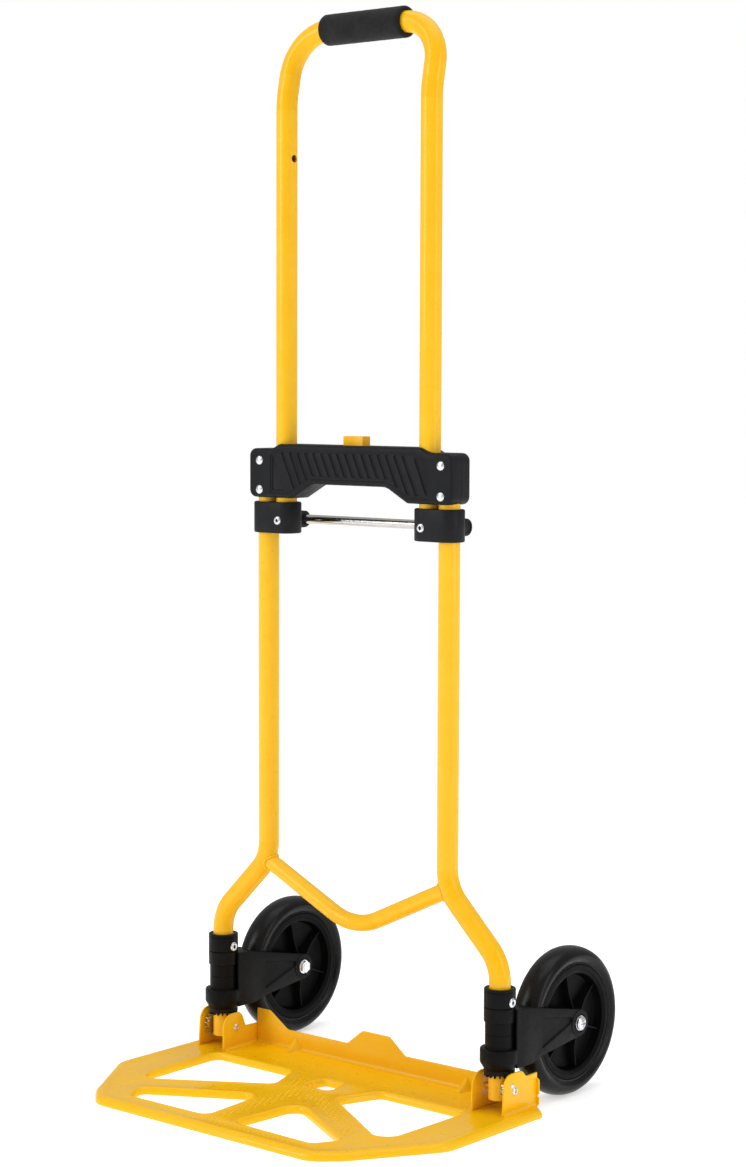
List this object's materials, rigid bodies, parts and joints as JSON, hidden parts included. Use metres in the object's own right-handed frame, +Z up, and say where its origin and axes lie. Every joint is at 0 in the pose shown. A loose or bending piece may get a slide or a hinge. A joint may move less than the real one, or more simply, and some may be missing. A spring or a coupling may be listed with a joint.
{
  "type": "folding hand truck",
  "caption": "Folding hand truck with a telescoping tube handle, a toe plate that folds up and geared wheels that swing in between the legs as it folds.",
  "frame": {"origin": "on the floor, at the middle of the whole truck's width and depth, with the handle extended and the toe plate down", "axes": "+Z up, +Y to the back (the wheel side), +X to the truck's right as seen from the front (the load side, looking to the back)"},
  "size_m": [0.452, 0.4214, 1.108],
  "materials": {
    "painted_tube": "semi-gloss yellow powder coat",
    "painted_sheet": "semi-gloss yellow powder coat on pressed sheet",
    "fork_plastic": "fine-grained black moulding",
    "bridge_plastic": "fine-grained black moulding",
    "button_plastic": "satin yellow moulding",
    "zinc_steel": "bright zinc plate",
    "gear_metal": "zinc plate on pressed teeth",
    "chrome_rod": "polished chrome",
    "grip_foam": "matt closed-cell foam",
    "tyre_rubber": "satin thermoplastic rubber",
    "rim_plastic": "satin black moulding"
  },
  "bodies": {
    "frame": {"left_frame_tube": "painted_tube", "right_frame_tube": "painted_tube", "cross_brace": "painted_tube", "left_collar": "fork_plastic", "right_collar": "fork_plastic", "collar_rivets": "zinc_steel", "bridge_front_shell": "bridge_plastic", "bridge_rear_shell": "bridge_plastic", "bridge_rivets": "zinc_steel", "left_lock_spring": "zinc_steel", "right_lock_spring": "zinc_steel"},
    "button": {"release_button": "button_plastic"},
    "left_latch": {"left_lock_pin": "zinc_steel"},
    "right_latch": {"right_lock_pin": "zinc_steel"},
    "handle": {"handle_tube": "painted_tube", "foam_grip": "grip_foam", "left_slider": "bridge_plastic", "right_slider": "bridge_plastic", "cross_rod": "chrome_rod", "slider_rivets": "zinc_steel"},
    "left_bracket": {"left_wheel_fork": "fork_plastic", "left_crown_gear": "fork_plastic", "left_axle_bolt": "zinc_steel", "left_axle_nut": "zinc_steel", "left_axle_washers": "zinc_steel", "left_axle_sleeve": "zinc_steel"},
    "right_bracket": {"right_wheel_fork": "fork_plastic", "right_crown_gear": "fork_plastic", "right_axle_bolt": "zinc_steel", "right_axle_nut": "zinc_steel", "right_axle_washers": "zinc_steel", "right_axle_sleeve": "zinc_steel"},
    "left_wheel": {"left_tyre": "tyre_rubber", "left_rim": "rim_plastic"},
    "right_wheel": {"right_tyre": "tyre_rubber", "right_rim": "rim_plastic"},
    "toe": {"toe_plate": "painted_sheet", "back_flange": "painted_sheet", "left_outer_ear": "painted_sheet", "right_outer_ear": "painted_sheet", "left_ear_gear": "gear_metal", "right_ear_gear": "gear_metal", "toe_hinge_pins": "zinc_steel", "gear_rivets": "zinc_steel"}
  },
  "joints": [
    {"name": "handle_slide", "type": "slide", "parent": "frame", "child": "handle", "axis": [0, 0, 1], "range_m": [-0.325, 0]},
    {"name": "button_press", "type": "slide", "parent": "frame", "child": "button", "axis": [0, 0, -1], "range_m": [0, 0.006], "stiffness_N_per_m": 600, "springref_m": -0.005},
    {"name": "left_latch_slide", "type": "slide", "parent": "frame", "child": "left_latch", "axis": [1, 0, 0], "range_m": [0, 0.006], "deforming": ["left_lock_spring"]},
    {"name": "right_latch_slide", "type": "slide", "parent": "frame", "child": "right_latch", "axis": [-1, 0, 0], "range_m": [0, 0.006], "deforming": ["right_lock_spring"]},
    {"name": "toe_fold", "type": "hinge", "parent": "frame", "child": "toe", "pos_m": [0, 0.02425, 0.029], "axis": [-1, 0, 0], "range_deg": [0, 90]},
    {"name": "left_bracket_swivel", "type": "hinge", "parent": "frame", "child": "left_bracket", "pos_m": [-0.19, 0.02425, 0.08], "axis": [0, 0, -1], "range_deg": [0, 90]},
    {"name": "right_bracket_swivel", "type": "hinge", "parent": "frame", "child": "right_bracket", "pos_m": [0.19, 0.02425, 0.08], "axis": [0, 0, 1], "range_deg": [0, 90]},
    {"name": "left_wheel_spin", "type": "hinge", "parent": "left_bracket", "child": "left_wheel", "pos_m": [-0.19, 0.13375, 0.077], "axis": [1, 0, 0], "continuous": true},
    {"name": "right_wheel_spin", "type": "hinge", "parent": "right_bracket", "child": "right_wheel", "pos_m": [0.19, 0.13375, 0.077], "axis": [1, 0, 0], "continuous": true}
  ],
  "couplings": [
    {"joint": "left_latch_slide", "follows": "button_press", "ratio": 1},
    {"joint": "right_latch_slide", "follows": "button_press", "ratio": 1},
    {"joint": "left_bracket_swivel", "follows": "toe_fold", "ratio": 1},
    {"joint": "right_bracket_swivel", "follows": "toe_fold", "ratio": 1}
  ]
}
